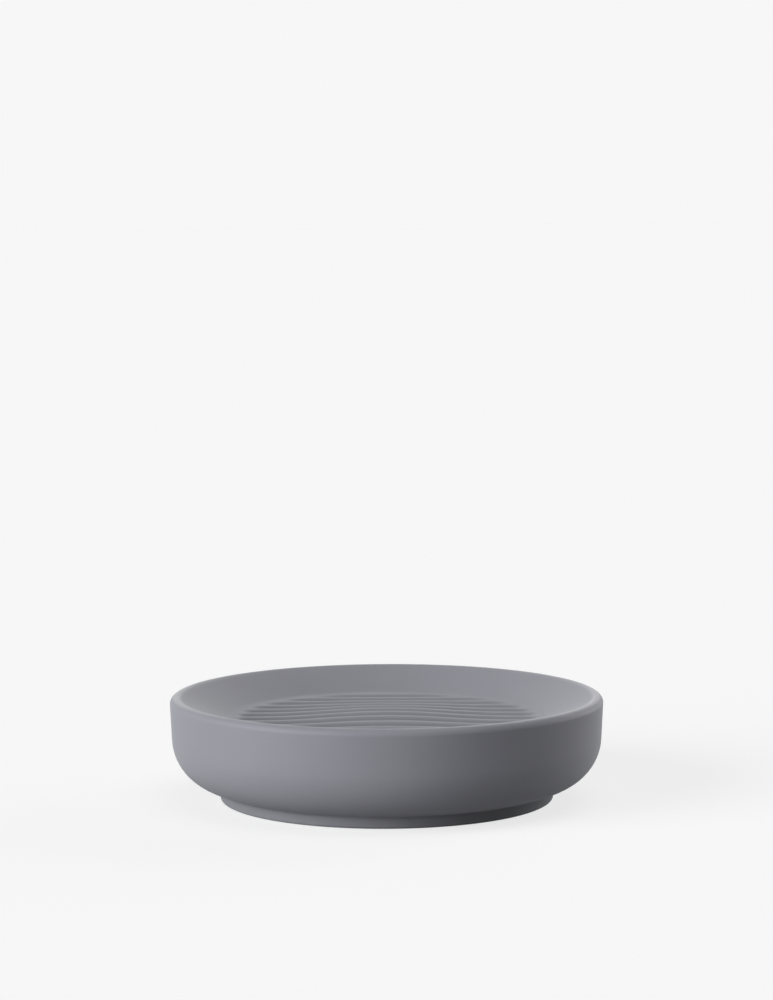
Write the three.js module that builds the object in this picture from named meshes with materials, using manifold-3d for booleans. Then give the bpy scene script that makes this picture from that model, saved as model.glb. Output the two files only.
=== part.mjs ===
// Round stoneware soap dish: a hollow-footed dish with a funnel rim and a crowned, grooved
// drying floor, standing on four anti-slip pads set into its foot ring.
// Millimetres, +Z up. The origin is on the table, under the middle of the dish.
import * as THREE from "three";
import { mergeVertices } from "three/addons/utils/BufferGeometryUtils.js";
import Module from "manifold-3d";

// Overall size
const OUTER_DIAMETER = 120;
const OVERALL_HEIGHT = 29;

// Wall, rim and rounded bowl
const WALL_THICKNESS = 5;
const WALL_LEAN = 2.8; // degrees from upright, wider towards the rim
const RIM_RADIUS = 1.9; // from the wall over to the funnel
const BOWL_RADIUS = 14; // outside, between the wall and the underside
const UNDERSIDE_RISE = 15; // degrees, from the foot out to the bowl

// Foot ring
const FOOT_DIAMETER = 92.4;
const FOOT_HEIGHT = 3.5; // from the table to where the foot meets the underside
const FOOT_EDGE_RADIUS = 0.8;
const FOOT_FILLET_RADIUS = 1.2;
const FOOT_MARGIN = 1.5; // stoneware left on both sides of a pad pocket
const HOLLOW_CORNER_RADIUS = 3;

// Funnel and floor
const FUNNEL_SLOPE = 24; // degrees
const FLOOR_HEIGHT = 24; // from the table to the tops of the ribs at the floor's edge
const FLOOR_THICKNESS = 5; // under the grooves
const FLOOR_CROWN = 1.15; // rise of the floor to its middle
const CROWN_DIAMETER = 70;
const FLOOR_BLEND_RADIUS = 5;

// Drying grooves, which run along X and leave the ribs standing between them
const GROOVE_WIDTH = 5.4;
const GROOVE_DEPTH = 1.1;
const RIB_WIDTH = 1.4; // flat top between two grooves
const GROOVE_MARGIN = 0.2; // plain floor between the ends of the grooves and the funnel's blend
const GROOVE_RUN_OUT = 4.5; // length over which a groove's end rises to the floor
const FLOOR_ROOT = 1; // depth to which the grooved floor is one with the dish round it

// Anti-slip pads
const PAD_DIAMETER = 6;
const PAD_THICKNESS = 1.4;
const PAD_STAND = 0.2; // how far a pad stands out of the foot
const PAD_EDGE_RADIUS = 0.3;
const PAD_CLEARANCE = 0.3; // between a pad's side and its pocket
const BOND_GAP = 0.1; // film of adhesive above a pad
const PAD_NAMES = ["pad_back_right", "pad_back_left", "pad_front_left", "pad_front_right"];

// Fineness of the round shapes
const TURN_STEPS = 64;
const PAD_TURN_STEPS = 24;
const ARC_SAG = 0.08; // greatest distance between an arc and its chords
const ARC_TURN = 30; // degrees, greatest turn of one chord
const GROOVE_STEPS = 6; // across one groove
const LENGTH_STEPS = 20; // along the grooves

const STONEWARE = { color: 0x8b8c91, roughness: 0.72, metalness: 0 };
const SILICONE = { color: 0x3b3c3f, roughness: 0.6, metalness: 0 };

const wasm = await Module();
wasm.setup();

// A closed geometry as a solid that can be joined and cut.
function solidFrom(geometry) {
  const bare = geometry.clone();
  bare.deleteAttribute("normal");
  bare.deleteAttribute("uv");
  const merged = mergeVertices(bare);
  const vertProperties = merged.getAttribute("position").array;
  const triVerts = new Uint32Array(merged.index.array);
  return new wasm.Manifold(new wasm.Mesh({ numProp: 3, vertProperties, triVerts }));
}

function geometryFrom(solid) {
  const { vertProperties, triVerts } = solid.getMesh();
  const geometry = new THREE.BufferGeometry();
  geometry.setAttribute("position", new THREE.BufferAttribute(vertProperties, 3));
  geometry.setIndex(new THREE.BufferAttribute(triVerts, 1));
  geometry.computeVertexNormals();
  return geometry;
}

// A straight side of a section, through a point at an angle from level. Its left side is at +90 degrees.
function side(r, z, degrees) {
  const angle = THREE.MathUtils.degToRad(degrees);
  return { through: new THREE.Vector2(r, z), along: new THREE.Vector2(Math.cos(angle), Math.sin(angle)) };
}

function shiftedLeft({ through, along }, distance) {
  const left = new THREE.Vector2(-along.y, along.x);
  return { through: through.clone().addScaledVector(left, distance), along };
}

// The point where two sides of a section cross.
function crossing(first, second) {
  const between = second.through.clone().sub(first.through);
  const reach = between.cross(second.along) / first.along.cross(second.along);
  return first.through.clone().addScaledVector(first.along, reach);
}

// A section's outline through its corners, each rounded to its radius as far as its sides have room.
function roundedOutline(corners) {
  const points = corners.map(({ at }) => at);
  const toward = (from, to) => points[to].clone().sub(points[from]).normalize();
  const isEnd = (i) => i === 0 || i === points.length - 1;
  const halfAngle = (i) => toward(i, i - 1).angleTo(toward(i, i + 1)) / 2;
  const wanted = corners.map(({ radius }, i) => (isEnd(i) ? 0 : radius / Math.tan(halfAngle(i))));
  const room = (i) => points[i].distanceTo(points[i + 1]) / (wanted[i] + wanted[i + 1]);
  return points.flatMap((corner, i) => {
    if (isEnd(i) || wanted[i] === 0) return [corner];
    const reach = wanted[i] * Math.min(1, room(i - 1), room(i));
    const radius = reach * Math.tan(halfAngle(i));
    const start = corner.clone().addScaledVector(toward(i, i - 1), reach);
    const end = corner.clone().addScaledVector(toward(i, i + 1), reach);
    const middle = start.clone().add(end).sub(corner).sub(corner).normalize();
    const centre = corner.clone().addScaledVector(middle, radius / Math.sin(halfAngle(i)));
    const startAngle = start.clone().sub(centre).angle();
    const endAngle = end.clone().sub(centre).angle();
    const clockwise = toward(i - 1, i).cross(toward(i, i + 1)) < 0;
    const turn = Math.PI - 2 * halfAngle(i);
    const sagAngle = 2 * Math.acos(Math.max(1 - ARC_SAG / radius, 0));
    const chordAngle = Math.min(sagAngle, THREE.MathUtils.degToRad(ARC_TURN));
    const arc = new THREE.EllipseCurve(
      centre.x, centre.y, radius, radius, startAngle, endAngle, clockwise);
    return arc.getPoints(Math.ceil(turn / chordAngle));
  });
}

// An outline of radius and height turned about the vertical axis.
function turned(outline, steps) {
  return new THREE.LatheGeometry(outline, steps).rotateX(Math.PI / 2);
}

function uprightCylinder(radius, bottom, top, steps) {
  const geometry = new THREE.CylinderGeometry(radius, radius, top - bottom, steps).rotateX(Math.PI / 2);
  return geometry.translate(0, 0, (bottom + top) / 2);
}

// Sides of the dish's section, outside first and then one wall thickness further in
const footRadius = FOOT_DIAMETER / 2;
const pocketRadius = PAD_DIAMETER / 2 + PAD_CLEARANCE;
const footInnerRadius = footRadius - 2 * (pocketRadius + FOOT_MARGIN);
const rimRadial = OUTER_DIAMETER / 2 - RIM_RADIUS;
const rimHeight = OVERALL_HEIGHT - RIM_RADIUS;
const grooveHeight = FLOOR_HEIGHT - GROOVE_DEPTH;
const wellHeight = grooveHeight - FLOOR_ROOT;

const land = side(0, PAD_STAND, 0);
const footOutside = side(footRadius, 0, 90);
const footInside = side(footInnerRadius, 0, 90);
const underside = side(footRadius, FOOT_HEIGHT, UNDERSIDE_RISE);
const wall = shiftedLeft(side(rimRadial, rimHeight, 90 - WALL_LEAN), -RIM_RADIUS);
const funnel = shiftedLeft(side(rimRadial, rimHeight, 180 + FUNNEL_SLOPE), -RIM_RADIUS);
const floor = side(0, FLOOR_HEIGHT, 180);
const hollowUnderside = shiftedLeft(underside, WALL_THICKNESS);
const hollowWall = shiftedLeft(wall, WALL_THICKNESS);
const hollowFunnel = shiftedLeft(funnel, FLOOR_THICKNESS);
const ceiling = side(0, grooveHeight - FLOOR_THICKNESS, 0);

// The funnel's blend ends on the plain floor. Inside that is the well that the grooved floor fills,
// and the grooves end at its edge
const blendReach = FLOOR_BLEND_RADIUS * Math.tan(THREE.MathUtils.degToRad(FUNNEL_SLOPE / 2));
const funnelFoot = crossing(funnel, floor);
const floorRadius = funnelFoot.x - blendReach;
const wellRadius = floorRadius - GROOVE_MARGIN;

// Dish body round its well, from the axis under the floor out over the hollow and the foot,
// then up the wall, over the rim, down the funnel and the well to the axis again
const hollowBowlRadius = BOWL_RADIUS - WALL_THICKNESS;
const dishOutline = roundedOutline([
  { at: ceiling.through, radius: 0 },
  { at: crossing(ceiling, hollowFunnel), radius: FLOOR_BLEND_RADIUS + FLOOR_THICKNESS },
  { at: crossing(hollowFunnel, hollowWall), radius: HOLLOW_CORNER_RADIUS },
  { at: crossing(hollowWall, hollowUnderside), radius: hollowBowlRadius },
  { at: crossing(hollowUnderside, footInside), radius: HOLLOW_CORNER_RADIUS },
  { at: crossing(footInside, land), radius: FOOT_EDGE_RADIUS },
  { at: crossing(land, footOutside), radius: FOOT_EDGE_RADIUS },
  { at: crossing(footOutside, underside), radius: FOOT_FILLET_RADIUS },
  { at: crossing(underside, wall), radius: BOWL_RADIUS },
  { at: crossing(wall, funnel), radius: RIM_RADIUS },
  { at: funnelFoot, radius: FLOOR_BLEND_RADIUS },
  { at: new THREE.Vector2(wellRadius, FLOOR_HEIGHT), radius: 0 },
  { at: new THREE.Vector2(wellRadius, wellHeight), radius: 0 },
  { at: new THREE.Vector2(0, wellHeight), radius: 0 },
]);

// Grooved floor: one waved section run along X, crowned, its grooves run out at a circle, and cut
// round so that its edge lies flush on the plain floor
const ribPitch = GROOVE_WIDTH + RIB_WIDTH;
const groovedRadius = wellRadius + GROOVE_MARGIN / 2;
const groovesEachSide = Math.floor((wellRadius - GROOVE_WIDTH / 2) / ribPitch + 0.5);

function crownRise(radius) {
  const share = Math.min(radius / (CROWN_DIAMETER / 2), 1);
  return (FLOOR_CROWN * (1 + Math.cos(Math.PI * share))) / 2;
}

// Share of a groove's depth that is left at a radius.
function grooveShare(radius) {
  return 1 - THREE.MathUtils.smoothstep(radius, wellRadius - GROOVE_RUN_OUT, wellRadius);
}

function groovedSection() {
  const bottom = wellHeight - FLOOR_ROOT;
  const section = new THREE.Shape();
  section.moveTo(-groovedRadius, bottom);
  section.lineTo(groovedRadius, bottom);
  section.lineTo(groovedRadius, FLOOR_HEIGHT);
  for (let groove = groovesEachSide - 0.5; groove > -groovesEachSide; groove--) {
    for (let step = 0; step <= GROOVE_STEPS; step++) {
      const across = 0.5 - step / GROOVE_STEPS;
      const dip = (GROOVE_DEPTH * (1 + Math.cos(2 * Math.PI * across))) / 2;
      section.lineTo(groove * ribPitch + across * GROOVE_WIDTH, FLOOR_HEIGHT - dip);
    }
  }
  section.lineTo(-groovedRadius, FLOOR_HEIGHT);
  return section;
}

// The section is run from end to end of a plain block. Inside the block its top follows the chords
// of the floor's circle, with short steps where the grooves end.
function groovedFloorGeometry() {
  const geometry = new THREE.ExtrudeGeometry(groovedSection(), {
    depth: 2,
    steps: LENGTH_STEPS,
    bevelEnabled: false,
  });
  const reach = groovedRadius + FLOOR_ROOT;
  const position = geometry.getAttribute("position");
  for (let i = 0; i < position.count; i++) {
    const y = position.getX(i);
    const height = position.getY(i);
    const along = Math.sin((Math.PI / 2) * (position.getZ(i) - 1));
    const isInside = Math.abs(along) < 1 && height > wellHeight;
    const x = along * (isInside ? Math.sqrt(reach ** 2 - y ** 2) : reach);
    const radius = Math.hypot(x, y);
    const dip = (FLOOR_HEIGHT - height) * grooveShare(radius);
    position.setXYZ(i, x, y, isInside ? FLOOR_HEIGHT + crownRise(radius) - dip : height);
  }
  return geometry;
}

// Pads sit on the middle of the foot ring, at the corners of a square
const padCircleRadius = (footRadius + footInnerRadius) / 2;
const pocketTop = PAD_THICKNESS + BOND_GAP;
const padPlaces = PAD_NAMES.map((name, i) => {
  const angle = ((i + 0.5) * 2 * Math.PI) / PAD_NAMES.length;
  return { name, x: padCircleRadius * Math.cos(angle), y: padCircleRadius * Math.sin(angle) };
});

function dishBodyGeometry() {
  const dish = solidFrom(turned(dishOutline, TURN_STEPS));
  const bottom = wellHeight - 2 * FLOOR_ROOT;
  const trim = uprightCylinder(groovedRadius, bottom, OVERALL_HEIGHT, TURN_STEPS);
  const groovedFloor = solidFrom(groovedFloorGeometry()).intersect(solidFrom(trim));
  const pocket = uprightCylinder(pocketRadius, 0, pocketTop, PAD_TURN_STEPS);
  const withFloor = dish.add(groovedFloor);
  const body = padPlaces.reduce(
    (rest, { x, y }) => rest.subtract(solidFrom(pocket.clone().translate(x, y, 0))),
    withFloor,
  );
  return geometryFrom(body);
}

function padGeometry() {
  const outline = roundedOutline([
    { at: new THREE.Vector2(0, 0), radius: 0 },
    { at: new THREE.Vector2(PAD_DIAMETER / 2, 0), radius: PAD_EDGE_RADIUS },
    { at: new THREE.Vector2(PAD_DIAMETER / 2, PAD_THICKNESS), radius: PAD_EDGE_RADIUS },
    { at: new THREE.Vector2(0, PAD_THICKNESS), radius: 0 },
  ]);
  return turned(outline, PAD_TURN_STEPS);
}

function piece(name, geometry, finish) {
  const mesh = new THREE.Mesh(geometry, new THREE.MeshStandardMaterial(finish));
  mesh.name = name;
  return mesh;
}

const soapDish = new THREE.Group();
soapDish.name = "soap_dish";
soapDish.add(piece("dish_body", dishBodyGeometry(), STONEWARE));
for (const { name, x, y } of padPlaces) {
  const pad = piece(name, padGeometry(), SILICONE);
  pad.position.set(x, y, 0);
  soapDish.add(pad);
}

export default soapDish;
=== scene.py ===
from math import ceil, cos, hypot, pi, radians, sin, tan

import bmesh
import bpy
from mathutils import Matrix, Vector
from mathutils.geometry import intersect_line_line


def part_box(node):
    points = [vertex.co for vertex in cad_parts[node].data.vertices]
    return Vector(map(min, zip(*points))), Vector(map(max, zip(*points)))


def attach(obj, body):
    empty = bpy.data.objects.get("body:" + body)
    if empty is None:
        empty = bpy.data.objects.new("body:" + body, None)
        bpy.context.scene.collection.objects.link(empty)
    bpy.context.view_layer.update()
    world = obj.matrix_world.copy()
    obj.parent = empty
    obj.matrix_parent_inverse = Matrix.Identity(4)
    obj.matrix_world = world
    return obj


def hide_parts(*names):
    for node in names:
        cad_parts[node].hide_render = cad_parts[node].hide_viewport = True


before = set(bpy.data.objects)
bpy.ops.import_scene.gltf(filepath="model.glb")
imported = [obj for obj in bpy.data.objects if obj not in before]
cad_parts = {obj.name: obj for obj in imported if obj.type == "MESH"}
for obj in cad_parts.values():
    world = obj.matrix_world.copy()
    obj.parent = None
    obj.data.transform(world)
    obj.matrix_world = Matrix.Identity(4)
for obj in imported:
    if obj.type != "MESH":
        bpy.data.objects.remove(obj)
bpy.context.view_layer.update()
print("frame loaded:", sorted(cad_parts))

scene = bpy.context.scene
scene.view_settings.view_transform = "Standard"


# shader maths: a socket that can stand in a sum
class Wire:
    def __init__(self, tree, socket=None):
        self.tree = tree
        self.socket = socket

    def node(self, kind, settings=None, inputs=None, output=0):
        made = self.tree.nodes.new(kind)
        for name, value in (settings or {}).items():
            setattr(made, name, value)
        for name, value in (inputs or {}).items():
            if isinstance(value, Wire):
                self.tree.links.new(value.socket, made.inputs[name])
            else:
                made.inputs[name].default_value = value
        return Wire(self.tree, made.outputs[output] if made.outputs else None)

    def maths(self, operation, first, second):
        return self.node("ShaderNodeMath", {"operation": operation}, {0: first, 1: second})

    def __add__(self, other):
        return self.maths("ADD", self, other)

    def __sub__(self, other):
        return self.maths("SUBTRACT", self, other)

    def __rsub__(self, other):
        return self.maths("SUBTRACT", other, self)

    def __mul__(self, other):
        return self.maths("MULTIPLY", self, other)

    __radd__ = __add__
    __rmul__ = __mul__

    def most(self, other):
        return self.maths("MAXIMUM", self, other)

    def fade(self, low, high):  # 0 below low, 1 above high, smooth between
        inputs = {"Value": self, "From Min": low, "From Max": high}
        return self.node("ShaderNodeMapRange", {"interpolation_type": "SMOOTHSTEP"}, inputs)

    def between(self, dark, light):  # a colour mixed by this value
        return self.node("ShaderNodeMix", {"data_type": "RGBA"}, {0: self, 6: dark, 7: light}, 2)

    def noise(self, scale, detail=2.0):
        inputs = {"Vector": self, "Scale": scale, "Detail": detail}
        return self.node("ShaderNodeTexNoise", None, inputs, "Fac")


def newMaterial(name):
    material = bpy.data.materials.new(name)
    material.use_nodes = True
    material.node_tree.nodes.clear()
    return material, Wire(material.node_tree)


def surface(start, inputs):
    bsdf = start.node("ShaderNodeBsdfPrincipled", None, inputs)
    start.node("ShaderNodeOutputMaterial", None, {"Surface": bsdf})


def bumped(start, height, depth, under=None):
    inputs = {"Strength": 1.0, "Distance": depth, "Height": height}
    if under:
        inputs["Normal"] = under
    return start.node("ShaderNodeBump", None, inputs)


# finishes

noiseSpan = (0.3, 0.7)  # the part of a noise that is spread over a whole tone

coat = {
    "deep": (0.284, 0.286, 0.321, 1),
    "pale": (0.302, 0.305, 0.342, 1),
    "grooveShade": (0.214, 0.217, 0.241, 1),  # painted shade along the middle of each groove
    "footShade": (0.235, 0.238, 0.262, 1),  # painted shade on the foot, under the bowl's overhang
    "footShadeFullBelow": 0.0030,
    "footShadeGoneAbove": 0.0046,
    "roughness": 0.50,
    "dulled": 0.10,  # rougher on the floor, where soap lies
    "dry": 0.24,  # rougher towards the foot
    "dryBelow": 0.006,
    "sprayedAbove": 0.014,
    "polish": 0.17,  # smoother along the rim, where hands take hold
    "polishFrom": 0.0284,
    "polishFull": 0.0289,
    "specular": 0.2,
    "sheen": 0.04,
    "sheenRoughness": 0.5,
    "cloudsPerMetre": 42,
    "cloudShare": 0.6,  # of the tone, the rest is grain
    "cloudRoughness": 0.06,
    "grainPerMetre": 2400,
    "grainRoughness": 0.1,
    "grainDepth": 0.000012,
    "waveDepth": 0.00005,
}


def softTouchCoat():
    material, start = newMaterial("softTouchCoat")
    place = start.node("ShaderNodeTexCoord", None, None, "Object")
    height = start.node("ShaderNodeSeparateXYZ", None, {"Vector": place}, "Z")
    clouds = place.noise(coat["cloudsPerMetre"], detail=3.0)
    grain = place.noise(coat["grainPerMetre"], detail=3.0)
    rib = start.node("ShaderNodeAttribute", {"attribute_name": "rib"}, None, "Fac")
    groove = start.node("ShaderNodeAttribute", {"attribute_name": "groove"}, None, "Fac")
    share = coat["cloudShare"]
    tone = clouds.fade(*noiseSpan) * share + grain.fade(*noiseSpan) * (1 - share)
    # painted shade: the coat's colour darkens along the middle of each groove
    coatWithGrooveShade = groove.between(tone.between(coat["deep"], coat["pale"]), coat["grooveShade"])
    # painted shade: the colour darkens towards the foot
    colour = height.fade(coat["footShadeFullBelow"], coat["footShadeGoneAbove"]).between(coat["footShade"], coatWithGrooveShade)
    thin = 1 - height.fade(coat["dryBelow"], coat["sprayedAbove"])
    held = height.fade(coat["polishFrom"], coat["polishFull"])
    wear = coat["dulled"] * (rib + groove) + coat["dry"] * thin - coat["polish"] * held
    uneven = coat["grainRoughness"] * (grain - 0.5) + coat["cloudRoughness"] * (clouds - 0.5)
    roughness = coat["roughness"] + wear + uneven
    wave = bumped(start, clouds, coat["waveDepth"])
    normal = bumped(start, grain, coat["grainDepth"], wave)
    surface(start, {"Base Color": colour, "Roughness": roughness, "Normal": normal,
                    "Specular IOR Level": coat["specular"],
                    "Sheen Weight": coat["sheen"], "Sheen Roughness": coat["sheenRoughness"]})
    return material


biscuit = {
    "clay": (0.40, 0.365, 0.315, 1),
    "paleClay": (0.49, 0.455, 0.40, 1),
    "iron": (0.17, 0.125, 0.09, 1),
    "roughness": 0.86,
    "cloudsPerMetre": 90,
    "cloudShare": 0.7,  # of the tone, the rest is sand
    "sandPerMetre": 2600,
    "sandRoughness": 0.12,
    "sandDepth": 0.00004,
    "specksPerMetre": 700,
    "speckEdge": (0.10, 0.22),
    "speckPick": (0.55, 0.62),
    "speckStrength": 0.8,
}


def bareStoneware():
    material, start = newMaterial("bareStoneware")
    place = start.node("ShaderNodeTexCoord", None, None, "Object")
    clouds = place.noise(biscuit["cloudsPerMetre"], detail=4.0)
    sand = place.noise(biscuit["sandPerMetre"], detail=4.0)
    cells = start.node("ShaderNodeTexVoronoi", None,
                       {"Vector": place, "Scale": biscuit["specksPerMetre"]}, "Distance")
    pick = place.noise(biscuit["specksPerMetre"] / 2, detail=0.0)
    specks = (1 - cells.fade(*biscuit["speckEdge"])) * pick.fade(*biscuit["speckPick"])
    share = biscuit["cloudShare"]
    tone = clouds.fade(*noiseSpan) * share + sand.fade(*noiseSpan) * (1 - share)
    clay = tone.between(biscuit["clay"], biscuit["paleClay"])
    colour = (specks * biscuit["speckStrength"]).between(clay, biscuit["iron"])
    roughness = biscuit["roughness"] + biscuit["sandRoughness"] * (sand - 0.5)
    surface(start, {"Base Color": colour, "Roughness": roughness,
                    "Normal": bumped(start, sand, biscuit["sandDepth"])})
    return material


silicone = {
    "dark": (0.036, 0.037, 0.040, 1),
    "dusty": (0.062, 0.062, 0.064, 1),
    "roughness": 0.52,
    "dustPerMetre": 900,
    "dustSpan": (0.45, 0.75),
    "dustRoughness": 0.16,
    "mouldPerMetre": 5200,
    "mouldRoughness": 0.1,
    "mouldDepth": 0.000012,
}


def padSilicone():
    material, start = newMaterial("padSilicone")
    place = start.node("ShaderNodeTexCoord", None, None, "Object")
    dust = place.noise(silicone["dustPerMetre"], detail=3.0)
    mould = place.noise(silicone["mouldPerMetre"], detail=2.0)
    colour = dust.fade(*silicone["dustSpan"]).between(silicone["dark"], silicone["dusty"])
    uneven = silicone["dustRoughness"] * (dust - 0.5) + silicone["mouldRoughness"] * (mould - 0.5)
    roughness = silicone["roughness"] + uneven
    surface(start, {"Base Color": colour, "Roughness": roughness,
                    "Normal": bumped(start, mould, silicone["mouldDepth"])})
    return material


def newPiece(name, bm, materials):
    for face in bm.faces:
        face.smooth = True
    mesh = bpy.data.meshes.new(name)
    bm.to_mesh(mesh)
    bm.free()
    for material in materials:
        mesh.materials.append(material)
    piece = bpy.data.objects.new(name, mesh)
    scene.collection.objects.link(piece)
    return piece


# the dish: one section, drawn as a wire and spun

lowest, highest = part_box("dish_body")
dish = {
    "rimRadius": (highest.x - lowest.x) / 2,
    "height": highest.z,
    "landHeight": lowest.z,
    "wallThickness": 0.005,
    "wallLean": 2.8,  # degrees
    "rimRound": 0.0019,
    "bowlRadius": 0.014,
    "undersideRise": 15,  # degrees
    "footRadius": 0.0462,
    "footInnerRadius": 0.0366,
    "footHeight": 0.0035,
    "footEdge": 0.0008,
    "footFillet": 0.0012,
    "hollowCorner": 0.003,
    "funnelSlope": 24,  # degrees
    "floorHeight": 0.0228,  # to the rib tops at the floor's edge, lower than the solids' as in the photo
    "ceilingHeight": 0.0179,  # of the hollow under the floor
    "funnelThickness": 0.005,
    "floorCrown": 0.00145,
    "crownRadius": 0.035,
    "floorBlend": 0.005,
    "ribPitch": 0.0068,
    "grooveWidth": 0.0054,
    "grooveDepth": 0.0011,
    "grooveMargin": 0.0002,  # plain floor between the grooves' ends and the funnel's blend
    "grooveRunOut": 0.0045,
    "slices": 16,
    "sliceSteps": 28,
    "floorStep": 0.0005,
    "plainStep": 0.003,
    "weld": 1e-6,
}


def sectionSide(r, z, degrees, shift=0.0):  # a straight side of the section, moved to its left
    along = Vector((cos(radians(degrees)), 0, sin(radians(degrees))))
    through = Vector((r, 0, z)) + Vector((-along.z, 0, along.x)) * shift
    return through, through + along


def crossing(first, second):
    return intersect_line_line(*first, *second)[0]


def drawTo(bm, pen, target):
    made = bmesh.ops.extrude_vert_indiv(bm, verts=[pen])["verts"][0]
    made.co = target
    return made


def drawSection(bm, corners):
    points = [point for point, radius, steps in corners]
    pen = bm.verts.new(points[0])
    for before, (here, radius, steps), after in zip(points, corners[1:], points[2:]):
        toBefore = (before - here).normalized()
        toAfter = (after - here).normalized()
        half = toBefore.angle(toAfter) / 2
        pen = drawTo(bm, pen, here + toBefore * (radius / tan(half)))
        if steps:
            centre = here + (toBefore + toAfter).normalized() * (radius / sin(half))
            turn = pi - 2 * half
            if toAfter.cross(-toBefore).y < 0:
                turn = -turn
            arc = bmesh.ops.spin(bm, geom=[pen], cent=centre, axis=(0, -1, 0), angle=turn, steps=steps)
            pen = next(item for item in arc["geom_last"] if isinstance(item, bmesh.types.BMVert))
    drawTo(bm, pen, points[-1])


def spinRound(bm, geom, angle, steps, copies):
    bmesh.ops.spin(bm, geom=geom, cent=(0, 0, 0), axis=(0, 0, 1), angle=angle, steps=steps,
                   use_duplicate=copies)


def spinSection(bm, corners, fineRadius):
    drawSection(bm, corners)
    wires = [edge for edge in bm.edges if not edge.link_faces]
    for edge in wires:
        middle = (edge.verts[0].co + edge.verts[1].co) / 2
        step = dish["floorStep"] if middle.x < fineRadius else dish["plainStep"]
        cuts = ceil(edge.calc_length() / step) - 1
        if cuts > 0:
            bmesh.ops.subdivide_edges(bm, edges=[edge], cuts=cuts)
    wires = [edge for edge in bm.edges if not edge.link_faces]
    ends = [vert for vert in bm.verts if not vert.link_faces]
    spinRound(bm, ends + wires, 2 * pi / dish["slices"], dish["sliceSteps"], False)


def dishCorners():
    rim = dish["rimRound"]
    thick = dish["wallThickness"]
    deep = dish["funnelThickness"]
    rimMiddle = (dish["rimRadius"] - rim, dish["height"] - rim)
    wall = (*rimMiddle, 90 - dish["wallLean"])
    funnel = (*rimMiddle, 180 + dish["funnelSlope"])
    under = (dish["footRadius"], dish["footHeight"], dish["undersideRise"])
    land = sectionSide(0, dish["landHeight"], 0)
    footOutside = sectionSide(dish["footRadius"], 0, 90)
    footInside = sectionSide(dish["footInnerRadius"], 0, 90)
    underside = sectionSide(*under)
    wallSide = sectionSide(*wall, -rim)
    funnelSide = sectionSide(*funnel, -rim)
    floorSide = sectionSide(0, dish["floorHeight"], 180)
    hollowUnderside = sectionSide(*under, thick)
    hollowWall = sectionSide(*wall, thick - rim)
    hollowFunnel = sectionSide(*funnel, deep - rim)
    ceiling = sectionSide(0, dish["ceilingHeight"], 0)
    landEnd = Vector((dish["footRadius"] - dish["footEdge"], 0, dish["landHeight"]))
    hollow = [  # point, radius, steps of its arc
        (ceiling[0], 0, 0),
        (crossing(ceiling, hollowFunnel), dish["floorBlend"] + deep, 4),
        (crossing(hollowFunnel, hollowWall), dish["hollowCorner"], 8),
        (crossing(hollowWall, hollowUnderside), dish["bowlRadius"] - thick, 8),
        (crossing(hollowUnderside, footInside), dish["hollowCorner"], 6),
        (crossing(footInside, land), dish["footEdge"], 5),
        (landEnd, 0, 0),
    ]
    outside = [
        (landEnd, 0, 0),
        (crossing(land, footOutside), dish["footEdge"], 5),
        (crossing(footOutside, underside), dish["footFillet"], 6),
        (crossing(underside, wallSide), dish["bowlRadius"], 14),
        (crossing(wallSide, funnelSide), rim, 20),
        (crossing(funnelSide, floorSide), dish["floorBlend"], 6),
        (floorSide[0], 0, 0),
    ]
    return hollow, outside


def crownRise(radius):
    share = min(radius / dish["crownRadius"], 1)
    return dish["floorCrown"] * (1 + cos(pi * share)) / 2


def grooveDip(y, lastGroove):  # 0 on a rib, 1 along the middle of a groove
    groove = round(y / dish["ribPitch"] - 0.5) + 0.5
    groove = max(-lastGroove, min(lastGroove, groove))
    across = abs(y - groove * dish["ribPitch"]) / dish["grooveWidth"]
    return (1 + cos(2 * pi * across)) / 2 if across < 0.5 else 0.0


def pressGrooves(bm, grooveEnd):
    rib = bm.verts.layers.float.new("rib")
    groove = bm.verts.layers.float.new("groove")
    grooves = int((grooveEnd - dish["grooveWidth"] / 2) / dish["ribPitch"] + 0.5)
    topSide = (dish["floorHeight"] + dish["ceilingHeight"]) / 2
    for vert in bm.verts:
        radius = hypot(vert.co.x, vert.co.y)
        if radius > grooveEnd or vert.co.z < topSide:
            continue
        inside = min((grooveEnd - radius) / dish["grooveRunOut"], 1)
        share = inside * inside * (3 - 2 * inside)
        dip = grooveDip(vert.co.y, grooves - 0.5)
        vert[rib] = share * (1 - dip)
        vert[groove] = share * dip
        vert.co.z += crownRise(radius) - dish["grooveDepth"] * dip * share


def makeDish():
    bm = bmesh.new()
    hollow, outside = dishCorners()
    funnelFoot = outside[-2][0]  # where the funnel's line meets the floor
    blendReach = dish["floorBlend"] * tan(radians(dish["funnelSlope"] / 2))
    grooveEnd = funnelFoot.x - blendReach - dish["grooveMargin"]
    spinSection(bm, hollow, 0.0)
    for face in bm.faces:
        face.material_index = 1  # the hollow and the foot's land stay uncoated
    spinSection(bm, outside, grooveEnd)
    wedge = bm.verts[:] + bm.edges[:] + bm.faces[:]
    spinRound(bm, wedge, 2 * pi * (1 - 1 / dish["slices"]), dish["slices"] - 1, True)
    bmesh.ops.remove_doubles(bm, verts=bm.verts, dist=dish["weld"])
    bmesh.ops.recalc_face_normals(bm, faces=bm.faces)
    pressGrooves(bm, grooveEnd)
    return newPiece("dish", bm, [softTouchCoat(), bareStoneware()])


def carve(piece, cutter, sharpAngle):
    cut = piece.modifiers.new("pockets", "BOOLEAN")
    cut.object = cutter
    cut.solver = "EXACT"
    done = piece.evaluated_get(bpy.context.evaluated_depsgraph_get())
    piece.data = bpy.data.meshes.new_from_object(done)
    piece.modifiers.clear()
    piece.data.set_sharp_from_angle(angle=radians(sharpAngle))
    bpy.data.objects.remove(cutter)


# the pads: bevelled silicone discs in pockets of the foot

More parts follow.
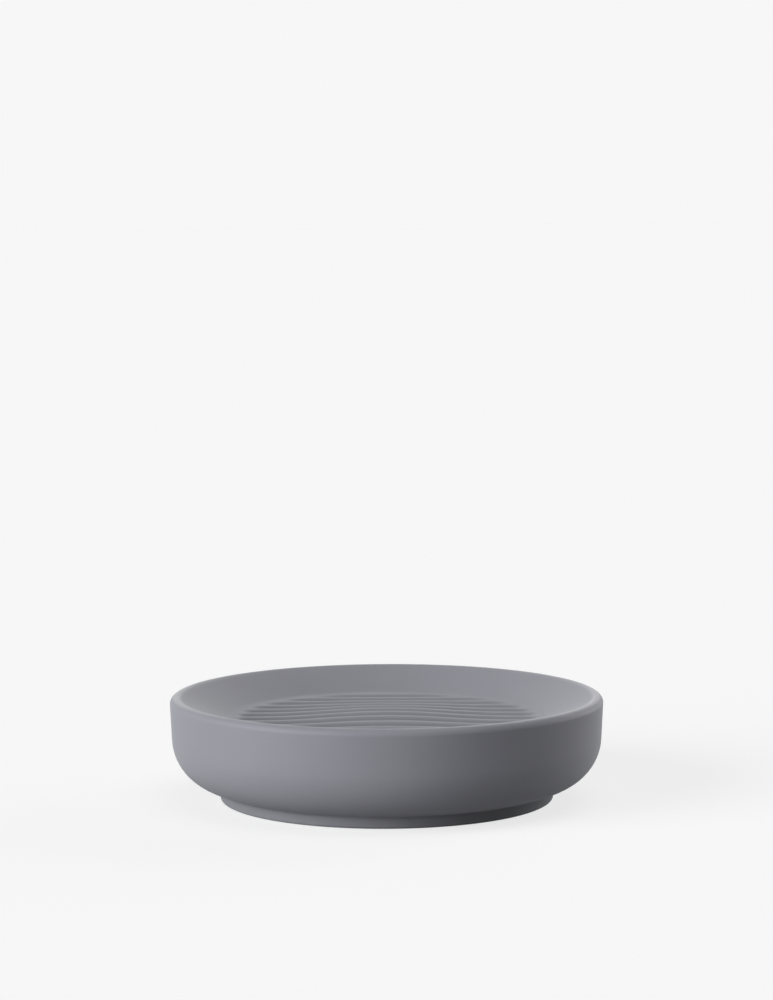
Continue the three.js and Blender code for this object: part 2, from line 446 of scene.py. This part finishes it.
pad = {
    "nodes": ["pad_back_right", "pad_back_left", "pad_front_left", "pad_front_right"],
    "edge": 0.0003,
    "edgeSteps": 5,
    "clearance": 0.0003,
    "bond": 0.0001,
    "segments": 64,
    "pocketCrease": 40,  # degrees
}


def disc(bm, middle, radius, bottom, top):
    ring = bmesh.ops.create_circle(bm, cap_ends=True, radius=radius, segments=pad["segments"],
                                   matrix=Matrix.Translation((middle.x, middle.y, bottom)))
    base = ring["verts"][0].link_faces[0]
    raised = bmesh.ops.extrude_face_region(bm, geom=[base])["geom"]
    upper = [item for item in raised if isinstance(item, bmesh.types.BMVert)]
    bmesh.ops.translate(bm, verts=upper, vec=(0, 0, top - bottom))


def makePad(node, material):
    low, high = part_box(node)
    middle = (low + high) / 2
    bm = bmesh.new()
    disc(bm, middle, (high.x - low.x) / 2, low.z, high.z)
    rims = [edge for edge in bm.edges if abs(edge.verts[0].co.z - edge.verts[1].co.z) < pad["edge"]]
    bmesh.ops.bevel(bm, geom=rims, offset=pad["edge"], offset_type="OFFSET", segments=pad["edgeSteps"],
                    profile=0.5, affect="EDGES", material=-1)
    bmesh.ops.recalc_face_normals(bm, faces=bm.faces)
    return newPiece(node + "_moulded", bm, [material])


def makePockets():
    bm = bmesh.new()
    for node in pad["nodes"]:
        low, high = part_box(node)
        radius = (high.x - low.x) / 2 + pad["clearance"]
        disc(bm, (low + high) / 2, radius, low.z - pad["clearance"], high.z + pad["bond"])
    bmesh.ops.recalc_face_normals(bm, faces=bm.faces)
    return newPiece("pockets", bm, [])


dishPiece = makeDish()
print("dish spun:", len(dishPiece.data.polygons), "faces")
carve(dishPiece, makePockets(), pad["pocketCrease"])
print("pockets cut:", len(dishPiece.data.polygons), "faces")
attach(dishPiece, "root")
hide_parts("dish_body")

padFinish = padSilicone()
for node in pad["nodes"]:
    padPiece = makePad(node, padFinish)
    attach(padPiece, "root")
    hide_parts(node)
print("pads moulded:", len(pad["nodes"]))


# stage: pale floor, soft lamps, pale background

stage = {
    "floorSize": 60.0,
    "floorSeen": (0.30, 0.30, 0.30, 1),
    "floorGlow": 0.742,  # brings the seen floor up to the background
    "floorBounce": (0.32, 0.32, 0.325, 1),
    "background": (0.93, 0.93, 0.93, 1),
    "ambient": (0.05, 0.05, 0.051, 1),
}
lamps = {  # degrees from the viewer's side, degrees up, strength on a facing surface, size in degrees
    "keyLeft": (-58, 14, 1.10, 44),
    "overhead": (45, 72, 0.16, 40),
    "rimRight": (120, 7, 0.50, 50),
    "backRight": (150, 32, 0.08, 40),
    "back": (180, 18, 0.055, 40),
}


def seenDirectly(start):
    path = start.node("ShaderNodeLightPath", None, None, "Is Camera Ray")
    sockets = path.socket.node.outputs
    glossy = Wire(start.tree, sockets["Is Glossy Ray"])
    through = Wire(start.tree, sockets["Is Transmission Ray"])
    return path.most(glossy).most(through)


def makeFloor():
    bm = bmesh.new()
    bmesh.ops.create_grid(bm, x_segments=1, y_segments=1, size=stage["floorSize"])
    material, start = newMaterial("paleFloor")
    bounce = start.node("ShaderNodeBsdfDiffuse", None, {"Color": stage["floorBounce"]})
    pale = start.node("ShaderNodeBsdfDiffuse", None, {"Color": stage["floorSeen"]})
    glow = start.node("ShaderNodeEmission", None, {"Strength": stage["floorGlow"]})
    lit = start.node("ShaderNodeAddShader", None, {0: pale, 1: glow})
    mixed = start.node("ShaderNodeMixShader", None, {0: seenDirectly(start), 1: bounce, 2: lit})
    start.node("ShaderNodeOutputMaterial", None, {"Surface": mixed})
    return newPiece("floor", bm, [material])


def makeWorld():
    world = bpy.data.worlds.new("paleRoom")
    world.use_nodes = True
    world.node_tree.nodes.clear()
    start = Wire(world.node_tree)
    colour = seenDirectly(start).between(stage["ambient"], stage["background"])
    light = start.node("ShaderNodeBackground", None, {"Color": colour})
    start.node("ShaderNodeOutputWorld", None, {"Surface": light})
    scene.world = world


def makeLamp(name, azimuth, elevation, strength, size):
    lamp = bpy.data.lights.new(name, "SUN")
    lamp.energy = strength * pi
    lamp.angle = radians(size)
    holder = bpy.data.objects.new(name, lamp)
    holder.rotation_euler = (radians(90 - elevation), 0, radians(azimuth))
    scene.collection.objects.link(holder)


makeFloor()
makeWorld()
for name, values in lamps.items():
    makeLamp(name, *values)
print("stage lit by", len(lamps), "lamps")


# camera at the photograph's place

view = {
    "place": (0.0005, -0.850, 0.16125),
    "pitch": 84.748,  # degrees from straight down
    "roll": 0.22,  # degrees
    "lens": 111.38,
    "sensor": 36.0,
}
cameraData = bpy.data.cameras.new("photoCamera")
cameraData.lens = view["lens"]
cameraData.sensor_width = view["sensor"]
camera = bpy.data.objects.new("photoCamera", cameraData)
camera.location = view["place"]
camera.rotation_euler = (radians(view["pitch"]), radians(view["roll"]), 0)
scene.collection.objects.link(camera)
scene.camera = camera
